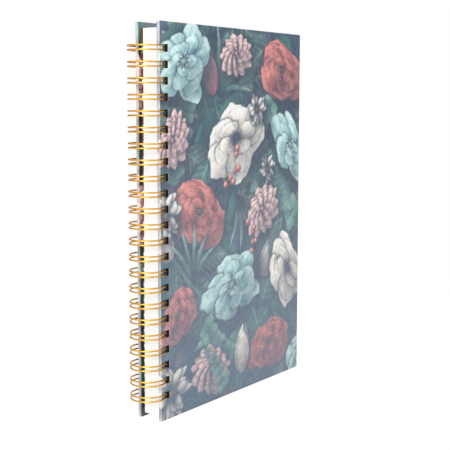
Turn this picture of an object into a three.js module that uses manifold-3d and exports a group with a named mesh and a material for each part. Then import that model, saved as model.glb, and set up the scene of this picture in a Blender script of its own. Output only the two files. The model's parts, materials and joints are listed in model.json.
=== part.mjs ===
// A wire-bound journal with case-made hard covers, standing upright on its tail edge.
// The front cover faces -Y, the spine is at -X and +Z is up. All sizes are in millimetres.
// Shapes are worked out round the axis of the wire rings, which is x = 0, y = 0 until the last step.

import * as THREE from "three";
import { mergeVertices } from "three/addons/utils/BufferGeometryUtils.js";
import Module from "manifold-3d";

// The covers: a grey board, a printed paper wrapped round it and an endpaper glued inside.
const COVER_WIDTH = 141;
const COVER_HEIGHT = 214;
const BOARD_THICKNESS = 1.8;
const COVER_CORNER_RADIUS = 0.9; // seen from the front
const WRAP_THICKNESS = 0.15;
const WRAP_TURN_IN = 15;
const ENDPAPER_THICKNESS = 0.15;
const ENDPAPER_MARGIN = 3; // from a cover's head, tail and fore edges
const ENDPAPER_SPINE_MARGIN = 2.4;
const GLUE_LINE = 0.02;

// The leaves, counted in blocks that turn together.
const LEAF_THICKNESS = 0.1;
const LEAVES_PER_BLOCK = 12;
const LEAF_BLOCKS = 8;
const LEAF_INSET = 3.1; // from the covers' head, tail and fore edges
const AIR_BETWEEN_BLOCKS = 0.05;
const AIR_UNDER_FRONT_COVER = 0.35;

// The punched holes, three to the inch, in one row along the spine edge of every sheet.
const PITCH = 25.4 / 3;
const HOLE_WIDTH = 4.4;
const HOLE_HEIGHT = 4;
const HOLE_MARGIN = 2.6; // from a cover's spine edge to the near side of its holes
const LEAF_HOLE_MARGIN = 3.7; // the same on a leaf
const ROW_END_MARGIN = 6; // the least distance from a leaf's head or tail to an end hole

// The twin-loop wire: one strand bent into fingers, each finger closed at its tip.
const WIRE_DIAMETER = 0.9;
const STRAND_SPACING = 2.3; // between the two strands of a finger, centre to centre
const HOLE_CLEARANCE = 0.12; // between the wire and each side of a cover's holes
const ROOT_BEND_RADIUS = 1.2;
const ROOT_CLEARANCE = 0.15; // between the roots and the back endpaper
const TIP_SHORTFALL = 0.6; // along the ring, from the tips' centreline to that of the roots
const SEAM_SPARE = 0.6; // room behind the last leaf beyond the wire's own thickness

// How finely the wire is drawn.
const WIRE_SIDES = 5;
const STRAND_STEPS = 18;
const TIP_STEPS = 4;
const ROOT_BEND_STEPS = 2;
const CORNER_SEGMENTS = 3;

// Colours are sRGB.
const PRINTED_PAPER = { color: 0x5c6f78, roughness: 0.55, metalness: 0 };
const GREY_BOARD = { color: 0x5a534c, roughness: 0.9, metalness: 0 };
const BROWN_PAPER = { color: 0x9a6246, roughness: 0.8, metalness: 0 };
const WHITE_PAPER = { color: 0xf6f4ee, roughness: 0.85, metalness: 0 };
const GOLD_WIRE = { color: 0xe3a93c, roughness: 0.25, metalness: 1 };

const wasm = await Module();
wasm.setup();

// What follows from the sizes above.
const wireRadius = WIRE_DIAMETER / 2;
const blockThickness = LEAVES_PER_BLOCK * LEAF_THICKNESS;
const blockPitch = blockThickness + AIR_BETWEEN_BLOCKS;
const leavesThickness = LEAF_BLOCKS * blockPitch - AIR_BETWEEN_BLOCKS;
const seamSpace = WIRE_DIAMETER + SEAM_SPARE;
const edgeThickness = 2 * (WRAP_THICKNESS + GLUE_LINE) + BOARD_THICKNESS;
const coverThickness = edgeThickness + GLUE_LINE + ENDPAPER_THICKNESS;
const innerHalf = (AIR_UNDER_FRONT_COVER + leavesThickness + seamSpace) / 2;
const outerHalf = innerHalf + coverThickness;
const leafHeight = COVER_HEIGHT - 2 * LEAF_INSET;

// The smallest ring whose round wire still clears both sides of a cover's holes, found by halving.
// Where the wire crosses a cover it leans, so a small ring needs wide holes and a large one narrow.
function smallestRing() {
  const needed = (r) =>
    Math.sqrt((r + wireRadius) ** 2 - innerHalf ** 2) - Math.sqrt((r - wireRadius) ** 2 - outerHalf ** 2);
  let low = outerHalf + wireRadius;
  let high = 4 * outerHalf;
  while (high - low > 1e-6) {
    const middle = (low + high) / 2;
    if (needed(middle) > HOLE_WIDTH - 2 * HOLE_CLEARANCE) low = middle;
    else high = middle;
  }
  return high;
}
const ringRadius = smallestRing();

// Where the holes and the spine edges lie, measured from the rings' axis.
const coverHoleX = Math.sqrt((ringRadius - wireRadius) ** 2 - outerHalf ** 2) - HOLE_CLEARANCE;
const coverSpineX = coverHoleX - HOLE_MARGIN;
const coverForeX = coverSpineX + COVER_WIDTH;
const leafReach = innerHalf - AIR_UNDER_FRONT_COVER;
const leafWireX = Math.sqrt((ringRadius - wireRadius) ** 2 - leafReach ** 2);
const leafHoleX = (leafWireX + ringRadius + wireRadius - HOLE_WIDTH) / 2;
const leafSpineX = leafHoleX - LEAF_HOLE_MARGIN;
const leafForeX = coverForeX - LEAF_INSET;

// The row of holes is centred on the height.
const loopCount = 1 + Math.floor((leafHeight - 2 * ROW_END_MARGIN - HOLE_HEIGHT) / PITCH);
const firstLoopZ = (COVER_HEIGHT - (loopCount - 1) * PITCH) / 2;
const loopHeights = Array.from({ length: loopCount }, (_, i) => firstLoopZ + i * PITCH);

function material(look, name) {
  const made = new THREE.MeshStandardMaterial(look);
  made.name = name;
  return made;
}

function piece(name, geometry, look) {
  const mesh = new THREE.Mesh(geometry, look);
  mesh.name = name;
  return mesh;
}

// A rectangle between two widths and two heights, with round corners where a radius is given.
function rectangle({ left, right, bottom, top, radius = 0 }) {
  const outline = new THREE.Shape();
  const corners = [
    [right, bottom, -1, 1],
    [right, top, -1, -1],
    [left, top, 1, -1],
    [left, bottom, 1, 1],
  ];
  corners.forEach(([x, z, inX, inZ], i) => {
    const from = -Math.PI / 2 + (i * Math.PI) / 2;
    if (radius > 0) outline.absarc(x + inX * radius, z + inZ * radius, radius, from, from + Math.PI / 2);
    else if (i === 0) outline.moveTo(x, z);
    else outline.lineTo(x, z);
  });
  outline.closePath();
  return outline;
}

// An outline in width and height, carried from one depth to another.
function slab(outline, nearY, farY) {
  const depth = farY - nearY;
  const made = new THREE.ExtrudeGeometry(outline, { depth, bevelEnabled: false, curveSegments: CORNER_SEGMENTS });
  return made.rotateX(Math.PI / 2).translate(0, farY, 0);
}

// A flat sheet punched along its spine edge.
function punchedSheet({ edges, nearY, farY, holeX }) {
  const outline = rectangle(edges);
  for (const z of loopHeights) {
    const hole = new THREE.Path();
    hole.moveTo(holeX, z - HOLE_HEIGHT / 2);
    hole.lineTo(holeX, z + HOLE_HEIGHT / 2);
    hole.lineTo(holeX + HOLE_WIDTH, z + HOLE_HEIGHT / 2);
    hole.lineTo(holeX + HOLE_WIDTH, z - HOLE_HEIGHT / 2);
    hole.closePath();
    outline.holes.push(hole);
  }
  return slab(outline, nearY, farY);
}

// A three.js geometry as a solid that can be cut, and back again.
function solid(geometry) {
  geometry.deleteAttribute("normal");
  geometry.deleteAttribute("uv");
  const merged = mergeVertices(geometry, 1e-5);
  const mesh = new wasm.Mesh({
    numProp: 3,
    vertProperties: merged.attributes.position.array,
    triVerts: new Uint32Array(merged.index.array),
  });
  return new wasm.Manifold(mesh);
}

function geometryOf(cut) {
  const mesh = cut.getMesh();
  const geometry = new THREE.BufferGeometry();
  geometry.setAttribute("position", new THREE.BufferAttribute(mesh.vertProperties, 3));
  geometry.setIndex(new THREE.BufferAttribute(mesh.triVerts, 1));
  geometry.computeVertexNormals();
  return geometry;
}

function block(x, y, z) {
  const size = [x, y, z].map(([low, high]) => high - low);
  const middle = [x, y, z].map(([low, high]) => (low + high) / 2);
  return solid(new THREE.BoxGeometry(...size).translate(...middle));
}

// Depths in a cover are counted from its outer face. Side is -1 for the front cover, 1 for the back.
function depths(side, from, to) {
  return [side * (outerHalf - from), side * (outerHalf - to)].sort((a, b) => a - b);
}

// A cover's outline, drawn in by the same amount all round.
function coverEdges(inset) {
  return {
    left: coverSpineX + inset,
    right: coverForeX - inset,
    bottom: inset,
    top: COVER_HEIGHT - inset,
    radius: Math.max(COVER_CORNER_RADIUS - inset, 0),
  };
}

// The printed paper: over the outer face, round all four edges and turned in on the inner face.
function wrapPaper(side) {
  const layer = (inset, from, to) => solid(slab(rectangle(coverEdges(inset)), ...depths(side, from, to)));
  const through = 1;
  let paper = layer(0, 0, edgeThickness)
    .subtract(layer(WRAP_THICKNESS, WRAP_THICKNESS, edgeThickness - WRAP_THICKNESS))
    .subtract(layer(WRAP_TURN_IN, edgeThickness / 2, edgeThickness + through));
  for (const z of loopHeights) {
    const hole = block(
      [coverHoleX, coverHoleX + HOLE_WIDTH],
      depths(side, -through, edgeThickness + through),
      [z - HOLE_HEIGHT / 2, z + HOLE_HEIGHT / 2],
    );
    paper = paper.subtract(hole);
  }
  return geometryOf(paper);
}

// The board inside the wrap, a glue line smaller all round.
function coverBoard(side) {
  const inset = WRAP_THICKNESS + GLUE_LINE;
  const [nearY, farY] = depths(side, inset, inset + BOARD_THICKNESS);
  return punchedSheet({ edges: coverEdges(inset), nearY, farY, holeX: coverHoleX });
}

// The endpaper lies over the turn-ins and leaves a narrow printed border round itself.
function endpaper(side) {
  const [nearY, farY] = depths(side, edgeThickness + GLUE_LINE, coverThickness);
  const edges = {
    left: coverSpineX + ENDPAPER_SPINE_MARGIN,
    right: coverForeX - ENDPAPER_MARGIN,
    bottom: ENDPAPER_MARGIN,
    top: COVER_HEIGHT - ENDPAPER_MARGIN,
  };
  return punchedSheet({ edges, nearY, farY, holeX: coverHoleX });
}

// One block of leaves, counted from the front.
function leafBlock(index) {
  const nearY = -innerHalf + AIR_UNDER_FRONT_COVER + index * blockPitch;
  const edges = {
    left: leafSpineX,
    right: leafForeX,
    bottom: LEAF_INSET,
    top: COVER_HEIGHT - LEAF_INSET,
  };
  return punchedSheet({ edges, nearY, farY: nearY + blockThickness, holeX: leafHoleX });
}

// The wire's centreline as angle round the ring and height. The angle grows from the roots, which
// lie between the last leaf and the back cover, out through the back cover, round the spine, in
// through the front cover and all the leaves, to the tips, which end beside the roots.
function wireRoute() {
  const rootAngle = Math.asin((innerHalf - ROOT_CLEARANCE - wireRadius) / ringRadius);
  const tipAngle = rootAngle + 2 * Math.PI - TIP_SHORTFALL / ringRadius;
  const tipRadius = STRAND_SPACING / 2;
  const strandFrom = rootAngle + ROOT_BEND_RADIUS / ringRadius;
  const strandTo = tipAngle - tipRadius / ringRadius;
  const route = [];
  const strand = (from, to, z) => {
    for (let i = 0; i <= STRAND_STEPS; i++) {
      route.push({ angle: from + ((to - from) * i) / STRAND_STEPS, z, round: true });
    }
  };
  // A bend on the ring's surface about a centre, from one heading to another.
  const bend = (angle, z, radius, from, to, steps) => {
    for (let i = 1; i < steps; i++) {
      const t = from + ((to - from) * i) / steps;
      route.push({ angle: angle + (radius * Math.cos(t)) / ringRadius, z: z + radius * Math.sin(t) });
    }
  };
  const freeEnd = rootAngle + ROOT_BEND_RADIUS / 2 / ringRadius;
  const quarter = Math.PI / 2;
  loopHeights.forEach((z, i) => {
    const low = z - STRAND_SPACING / 2;
    const high = z + STRAND_SPACING / 2;
    strand(i === 0 ? freeEnd : strandFrom, strandTo, low);
    bend(strandTo, z, tipRadius, -quarter, quarter, TIP_STEPS);
    strand(strandTo, i === loopCount - 1 ? freeEnd : strandFrom, high);
    if (i === loopCount - 1) return;
    const next = high + PITCH - STRAND_SPACING;
    bend(strandFrom, high + ROOT_BEND_RADIUS, ROOT_BEND_RADIUS, 3 * quarter, 2 * quarter, ROOT_BEND_STEPS);
    route.push({ angle: rootAngle, z: high + ROOT_BEND_RADIUS });
    route.push({ angle: rootAngle, z: next - ROOT_BEND_RADIUS });
    bend(strandFrom, next - ROOT_BEND_RADIUS, ROOT_BEND_RADIUS, 2 * quarter, quarter, ROOT_BEND_STEPS);
  });
  return { route, strandStep: (strandTo - strandFrom) / STRAND_STEPS };
}

// The centreline's points. On the long strands they stand a little outside the ring, by half of
// what a chord would cut off, so that the wire keeps to the ring on average.
function wirePoints() {
  const { route, strandStep } = wireRoute();
  const spread = 1 + (1 - Math.cos(strandStep / 2)) / 2;
  return route.map(({ angle, z, round }) => {
    const r = ringRadius * (round ? spread : 1);
    return new THREE.Vector3(r * Math.cos(angle), r * Math.sin(angle), z);
  });
}

// The wire as one closed tube: a ring of corners at every point, joined to the next, and two caps.
function wireTube(points) {
  const positions = [];
  const index = [];
  points.forEach((point, i) => {
    const before = points[Math.max(i - 1, 0)];
    const after = points[Math.min(i + 1, points.length - 1)];
    const along = after.clone().sub(before).normalize();
    const outward = new THREE.Vector3(point.x, point.y, 0).normalize();
    const across = along.clone().cross(outward).normalize();
    outward.crossVectors(across, along);
    for (let k = 0; k < WIRE_SIDES; k++) {
      const turn = (2 * Math.PI * k) / WIRE_SIDES;
      const corner = point
        .clone()
        .addScaledVector(outward, wireRadius * Math.cos(turn))
        .addScaledVector(across, wireRadius * Math.sin(turn));
      positions.push(...corner.toArray());
    }
  });
  const rings = points.length;
  for (let i = 0; i < rings - 1; i++) {
    for (let k = 0; k < WIRE_SIDES; k++) {
      const a = i * WIRE_SIDES + k;
      const b = i * WIRE_SIDES + ((k + 1) % WIRE_SIDES);
      index.push(a, b, b + WIRE_SIDES, a, b + WIRE_SIDES, a + WIRE_SIDES);
    }
  }
  const last = (rings - 1) * WIRE_SIDES;
  for (let k = 1; k < WIRE_SIDES - 1; k++) {
    index.push(0, k + 1, k);
    index.push(last, last + k, last + k + 1);
  }
  const tube = new THREE.BufferGeometry();
  tube.setAttribute("position", new THREE.Float32BufferAttribute(positions, 3));
  tube.setIndex(index);
  tube.computeVertexNormals();
  return tube;
}

// The least distance between two stretches of the wire that aren't neighbours along it.
function leastGap(points) {
  const curve = [];
  points.slice(1).forEach((to, i) => {
    const from = points[i];
    const parts = Math.max(1, Math.round(from.distanceTo(to) / wireRadius));
    for (let k = 0; k < parts; k++) curve.push(from.clone().lerp(to, k / parts));
  });
  const along = [0];
  for (let i = 1; i < curve.length; i++) along.push(along[i - 1] + curve[i].distanceTo(curve[i - 1]));
  const neighbour = Math.PI * STRAND_SPACING;
  const oneFinger = 4 * Math.PI * ringRadius + 2 * PITCH;
  let least = Infinity;
  for (let i = 0; i < curve.length; i++) {
    for (let j = i + 1; j < curve.length && along[j] - along[i] < oneFinger; j++) {
      if (along[j] - along[i] > neighbour) least = Math.min(least, curve[i].distanceTo(curve[j]));
    }
  }
  return least - WIRE_DIAMETER;
}

const printed = material(PRINTED_PAPER, "printed_paper");
const board = material(GREY_BOARD, "grey_board");
const brown = material(BROWN_PAPER, "brown_paper");
const white = material(WHITE_PAPER, "white_paper");
const gold = material(GOLD_WIRE, "gold_wire");

const journal = new THREE.Group();
for (const [side, name] of [
  [-1, "front"],
  [1, "back"],
]) {
  journal.add(piece(`${name}_cover_wrap`, wrapPaper(side), printed));
  journal.add(piece(`${name}_board`, coverBoard(side), board));
  journal.add(piece(`${name}_endpaper`, endpaper(side), brown));
}
for (let i = 0; i < LEAF_BLOCKS; i++) {
  journal.add(piece(`leaf_block_${i + 1}`, leafBlock(i), white));
}
const points = wirePoints();
journal.add(piece("wire_binding", wireTube(points), gold));
console.log(`least gap between turns of the wire: ${leastGap(points).toFixed(2)} mm`);

// The origin is the middle of the footprint, on the surface that the journal stands on.
const middleX = (coverForeX - ringRadius - wireRadius) / 2;
journal.position.x = -middleX;
console.log(`rings' axis at x = ${(-middleX).toFixed(3)} mm, ring radius ${ringRadius.toFixed(3)} mm`);

export default journal;
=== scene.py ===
"""A hardcover journal on a double-loop wire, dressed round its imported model.

The covers are cased boards in a printed floral paper, the leaves are separate ruled sheets and the
wire is one gold strand. The functions work in millimetres. On a cover, a is the distance from its
spine edge, z the height above its tail and depth the distance behind its outer face.
"""

import copy
import json
import math
from functools import cached_property
from types import SimpleNamespace

import bpy
import numpy as np
from mathutils import Matrix, Vector


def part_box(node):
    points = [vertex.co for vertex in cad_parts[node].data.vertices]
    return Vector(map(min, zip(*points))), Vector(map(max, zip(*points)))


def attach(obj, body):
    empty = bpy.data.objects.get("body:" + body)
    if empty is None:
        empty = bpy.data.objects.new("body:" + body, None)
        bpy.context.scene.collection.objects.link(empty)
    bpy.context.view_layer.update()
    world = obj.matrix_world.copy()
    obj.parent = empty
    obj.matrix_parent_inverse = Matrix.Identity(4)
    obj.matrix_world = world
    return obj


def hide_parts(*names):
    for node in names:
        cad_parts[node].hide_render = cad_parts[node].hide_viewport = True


bl_info = {
    "name": "Wire-bound journal",
    "version": (1, 0, 0),
    "blender": (4, 5, 0),
    "location": "View3D > Sidebar > Journal",
    "description": "Makes a hardcover journal with a printed cover and a gold double-loop wire",
    "category": "Add Mesh",
}

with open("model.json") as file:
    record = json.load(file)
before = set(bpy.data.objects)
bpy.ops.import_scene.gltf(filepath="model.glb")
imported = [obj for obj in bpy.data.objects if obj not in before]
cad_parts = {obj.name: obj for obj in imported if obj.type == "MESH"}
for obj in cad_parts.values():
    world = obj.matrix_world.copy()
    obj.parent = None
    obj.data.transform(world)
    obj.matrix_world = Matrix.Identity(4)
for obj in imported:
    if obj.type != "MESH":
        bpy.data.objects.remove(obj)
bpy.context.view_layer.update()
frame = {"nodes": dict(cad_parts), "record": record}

MM = 0.001


def node_box(node):
    """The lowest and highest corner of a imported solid."""
    return np.array(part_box(node)) / MM


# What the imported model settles: the covers' edges, the leaves and the axis of the wire's rings.
cover_low, cover_high = node_box("back_cover_wrap")
endpaper_low = node_box("back_endpaper")[0]
leaf_low, leaf_high = node_box("leaf_block_1")
wire_low = node_box("wire_binding")[0]
SPINE_X = cover_low[0]
COVER_WIDTH = cover_high[0] - cover_low[0]
COVER_HEIGHT = cover_high[2] - cover_low[2]
CASE_THICKNESS = cover_high[1] - cover_low[1]
OUTER_HALF = cover_high[1]
INNER_HALF = endpaper_low[1]
AXIS_X = frame["record"]["behaviour"]["joints"][0]["pos_m"][0] / MM
BLOCKS = sorted(n for n in frame["nodes"] if n.startswith("leaf_block_"))

# Which way each cover faces along Y, and the seed of its print.
SIDES = {"front": -1, "back": 1}
PRINT_SEEDS = {"front": 11, "back": 47}

# Steps of the grid on a cover: over its face, across its holes, and from its rim to its holes.
FACE_STEP = 0.62
HOLE_STEP = 0.9
MARGIN_STEP = 0.6

# Points of a quarter round: at a cover's corners, and where its paper goes round the board.
CORNER_POINTS = 7
FOLD_POINTS = 5

# How far into a hole's wall the paper's cut edge shows, and how near points are that get joined.
PAPER_CUT = 0.16
WELD = 1e-4

# How far the leaves stand out of line with each other, and where a sheet's faces lie in its share
# of the block.
LEAF_SHIFT_X = 0.05
LEAF_SHIFT_Z = 0.04
LEAF_TURN = math.radians(0.02)
SHEET_FACES = (0.06, 0.94)

# Steps along the wire, on a finger, round a tip, round a bend and along a root, and its sides.
FINGER_STEPS = 56
TIP_STEPS = 16
BEND_STEPS = 10
ROOT_STEPS = 5
WIRE_SIDES = 14

# Margins of a leaf without ruling, and half a ruled line as a share of the ruling.
SPINE_MARGIN = 13
FORE_MARGIN = 7
TAIL_MARGIN = 10
HEAD_MARGIN = 17
HALF_LINE = 0.016

# The camera, from the front cover's spine-edge tail corner, with its angles in degrees.
CAMERA_FROM_CORNER = (-411.4, -331.5, 172.9)
CAMERA_YAW = 35.17
CAMERA_TILT = 7.06
CAMERA_ROLL = 0.09
FOCAL_PIXELS = 1004.6
PHOTO_PIXELS = 450
SENSOR = 36.0

# The stage in metres. A lamp has its place, size and power in watts. A card has its heading in degrees,
# distance, two sides and height. The floor and the world give less light than they show.
LAMPS_AIM = (0, 0, 0.11)
LAMPS = {
    "key": ((-1.8, -0.4, 0.9), 0.75, 16.5),
    "side": ((-1.3, -0.85, 0.45), 0.6, 9),
    "front": ((0.1, -1.3, 0.7), 0.6, 0.7),
}
CARDS = {
    "card_right": (0.0, 1.3, (-1.9, 0.15), 1.6),
    "card_behind": (90.0, 1.3, (-0.6, 1.9), 0.6),
    "card_front": (270.0, 1.2, (-0.35, 0.55), 0.35),
}
FLOOR_HALF = 4.0
FLOOR_Z = -0.0002
FLOOR_WHITE = 0.86
FLOOR_GLOW = 1.08
GLOW_SHARE = 0.86
WORLD_LIGHT = 0.60


def length_prop(name, description, millimetres):
    return bpy.props.FloatProperty(
        name=name, description=description, default=millimetres * MM, unit="LENGTH"
    )


def colour_prop(name, description, srgb):
    return bpy.props.FloatVectorProperty(
        name=name, description=description, default=srgb, subtype="COLOR_GAMMA"
    )


class JournalSizes(bpy.types.PropertyGroup):
    """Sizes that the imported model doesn't say by itself."""

    pitch: length_prop("Pitch", "From one loop to the next", 25.4 / 3)
    hole_width: length_prop("Hole width", "Across the spine", 4.4)
    hole_height: length_prop("Hole height", "Along the spine", 4.0)
    hole_margin: length_prop("Hole margin", "From a cover's spine edge to its holes", 2.6)
    leaf_hole_margin: length_prop("Leaf hole margin", "From a leaf's spine edge to its holes", 3.7)
    leaf_sag: bpy.props.FloatProperty(
        name="Leaf sag", description="How far the leaves turn down on the wire",
        default=math.radians(0.28), subtype="ANGLE",
    )
    leaf_drop: length_prop("Leaf drop", "How far the leaves sink till their holes rest on the wire", 0.3)
    corner_radius: length_prop("Corner radius", "Of a cover, seen from the front", 0.9)
    edge_radius: length_prop("Edge radius", "Of the paper where it goes round a board", 0.42)
    turn_in: length_prop("Turn-in", "Printed paper inside a cover", 15.0)
    wire_diameter: length_prop("Wire diameter", "Of the gold strand", 0.9)
    strand_spacing: length_prop("Strand spacing", "Between the strands of a loop, centre to centre", 2.3)
    root_bend: length_prop("Root bend", "Radius of the wire's bends at its roots", 1.2)
    root_clearance: length_prop("Root clearance", "From the roots to the back endpaper", 0.15)
    tip_shortfall: length_prop("Tip shortfall", "From the tips to the line of the roots", 0.6)
    ruling: length_prop("Ruling", "From line to line on a leaf", 7.0)
    loops: bpy.props.IntProperty(name="Loops", description="Double loops along the spine", default=23)
    leaves_per_block: bpy.props.IntProperty(
        name="Leaves per block", description="Sheets that turn together", default=12
    )


class JournalColours(bpy.types.PropertyGroup):
    """Colours as they are written in sRGB, from 0 to 1."""

    gold: colour_prop("Gold", "The wire", (0.95, 0.71, 0.12))
    paper: colour_prop("Paper", "The leaves", (0.972, 0.98, 0.985))
    ruling: colour_prop("Ruling", "The lines on the leaves", (0.72, 0.75, 0.80))
    endpaper: colour_prop("Endpaper", "Inside the covers", (0.57, 0.375, 0.21))
    board: colour_prop("Board", "The boards' cut edge in the holes", (0.10, 0.08, 0.07))


def sizes():
    """What the user set: lengths in millimetres, the sag in radians, and the counts."""
    group = bpy.context.scene.journal_sizes
    values = SimpleNamespace()
    for key in group.__annotations__:
        value = getattr(group, key)
        is_length = group.bl_rna.properties[key].unit == "LENGTH"
        setattr(values, key, value / MM if is_length else value)
    return values


def colours():
    return bpy.context.scene.journal_colours


def linear(srgb):
    """Written sRGB values as linear light, by the sRGB curve."""
    c = np.clip(np.asarray(srgb, dtype=float), 0, 1)
    return np.where(c <= 0.04045, c / 12.92, ((c + 0.055) / 1.055) ** 2.4)


def rgba(srgb):
    return (*linear(srgb), 1.0)


def smooth(low, high, x):
    """0 below low, 1 above high and 3t^2 - 2t^3 between them."""
    t = np.clip((x - low) / (high - low), 0, 1)
    return t * t * (3 - 2 * t)


def mix(a, b, t):
    t = np.asarray(t)[..., None]
    return np.asarray(a) * (1 - t) + np.asarray(b) * t


def soft_noise(u, v, size, seed):
    """Random heights on a square lattice of the given size, blended smoothly between its points."""
    rows, columns = 97, 89
    lattice = np.random.default_rng(seed).random((rows, columns))
    gu, gv = u / size + 40, v / size + 40
    iu, iv = np.floor(gu).astype(int), np.floor(gv).astype(int)
    fu, fv = smooth(0, 1, gu - iu), smooth(0, 1, gv - iv)

    def at(di, dj):
        return lattice[(iu + di) % rows, (iv + dj) % columns]

    low = at(0, 0) * (1 - fu) + at(1, 0) * fu
    high = at(0, 1) * (1 - fu) + at(1, 1) * fu
    return low * (1 - fv) + high * fv


# The floral print

SLATE = (0.125, 0.160, 0.195)
DUSK = (0.250, 0.245, 0.325)
PINE = (0.085, 0.170, 0.160)
FERN = (0.190, 0.350, 0.300)
SAGE = (0.450, 0.580, 0.510)
CREAM = (0.985, 0.955, 0.895)
SAND = (0.470, 0.415, 0.385)
CORAL = (0.870, 0.450, 0.390)
WINE = (0.270, 0.075, 0.095)
AQUA = (0.730, 0.890, 0.865)
TEAL = (0.150, 0.330, 0.360)
ROSE = (0.950, 0.750, 0.715)
MAUVE = (0.420, 0.205, 0.250)
OCHRE = (0.720, 0.540, 0.290)
UMBER = (0.080, 0.070, 0.080)
# The pale blue of the painted glare on the covers' faces.
GLARE_TINT = (0.475, 0.600, 0.735)
# The pale colour of the painted sheen on the covers' folded edges.
EDGE_SHEEN = (0.86, 0.88, 0.91)
LIGHT_FROM = (-0.55, 0.83)
FAR_SIDE = 0.75

# The kinds of flower. A round has its count of petals, their reach, its twist in petals and their half
# width. A heart has its radius, two colours and its stamens. Reach, width and radius are shares of the
# flower's radius. A wave has a swing, a rate and a shift, and varies the petals' place, reach, width or
# bend. What petal holds goes to Print.blade.
FLOWERS = {
    # Narrow petals in two rounds about an ochre middle.
    "daisy": {
        "dark": SAND, "light": CREAM, "heart": (0.20, UMBER, OCHRE, 0),
        "rounds": ((15, 1.0, 0.0, 0.15), (15, 0.84, 0.5, 0.15)),
        "place": (0.25, 5.1, 0), "reach": (0.14, 3.7, 1), "width": (0, 0, 0), "bend": (0.25, 2.3, 0),
        "petal": {"tip": 7, "fullest": 0.7, "rim": 0.6, "veins": 2, "low": 0.0, "high": 1.05},
    },
    # Broad cupped petals about a near-black middle.
    "anemone": {
        "dark": SAND, "light": CREAM, "heart": (0.11, UMBER, DUSK, 17),
        "rounds": ((6, 1.0, 0.0, 0.44), (5, 0.82, 0.45, 0.3608), (4, 0.55, 0.9, 0.242)),
        "place": (0.12, 3.3, 0), "reach": (0.12, 2.1, 1), "width": (0.06, 4.4, 1), "bend": (0.18, 2.9, 1),
        "petal": {"tip": 4.5, "fullest": 0.62, "rim": 0.8, "veins": 5, "low": -0.1, "high": 1.05},
    },
    # Broad crumpled petals, the inner ones nearly closed over the middle.
    "peony": {
        "dark": WINE, "light": CORAL, "heart": (0.08, UMBER, OCHRE, 13),
        "rounds": ((6, 1.0, 0.0, 0.55), (5, 0.80, 0.5, 0.44), (4, 0.60, 1.0, 0.33), (3, 0.40, 1.5, 0.22)),
        "place": (0.15, 2.6, 1), "reach": (0.10, 2.7, 1.3), "width": (0.05, 3.9, 0), "bend": (0, 0, 0),
        "petal": {"tip": 4, "fullest": 0.6, "rim": 0.6, "veins": 6, "low": -0.15, "high": 0.95},
    },
    # Broad blunt petals with long veins, each over the edge of the last.
    "cosmos": {
        "dark": TEAL, "light": AQUA, "heart": (0.09, TEAL, CREAM, 9),
        "rounds": ((7, 1.0, 0.0, 0.40), (5, 0.68, 0.5, 0.272), (3, 0.40, 1.0, 0.16)),
        "place": (0.2, 4.1, 1), "reach": (0.13, 2.9, 1), "width": (0.05, 2.2, 0), "bend": (0.3, 1.7, 0),
        "petal": {"tip": 5, "fullest": 0.72, "rim": 0.9, "veins": 4, "low": -0.05, "high": 1.05},
    },
    # Short petals in five rounds, each turned by half a petal.
    "dahlia": {
        "dark": MAUVE, "light": ROSE, "heart": (0.09, MAUVE, CREAM, 0),
        "rounds": (
            (13, 1.0, 0.0, 0.23), (11, 0.82, 0.5, 0.1886), (9, 0.64, 0.0, 0.1472), (7, 0.46, 0.5, 0.1058),
            (5, 0.28, 0.0, 0.0644),
        ),
        "place": (0.2, 3.1, 0), "reach": (0.08, 4.7, 1), "width": (0.0184, 4.7, 1), "bend": (0, 0, 0),
        "petal": {"tip": 3.0, "fullest": 0.9, "rim": 0.7, "veins": 1, "low": -0.15, "high": 1.05},
    },
}


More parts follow.
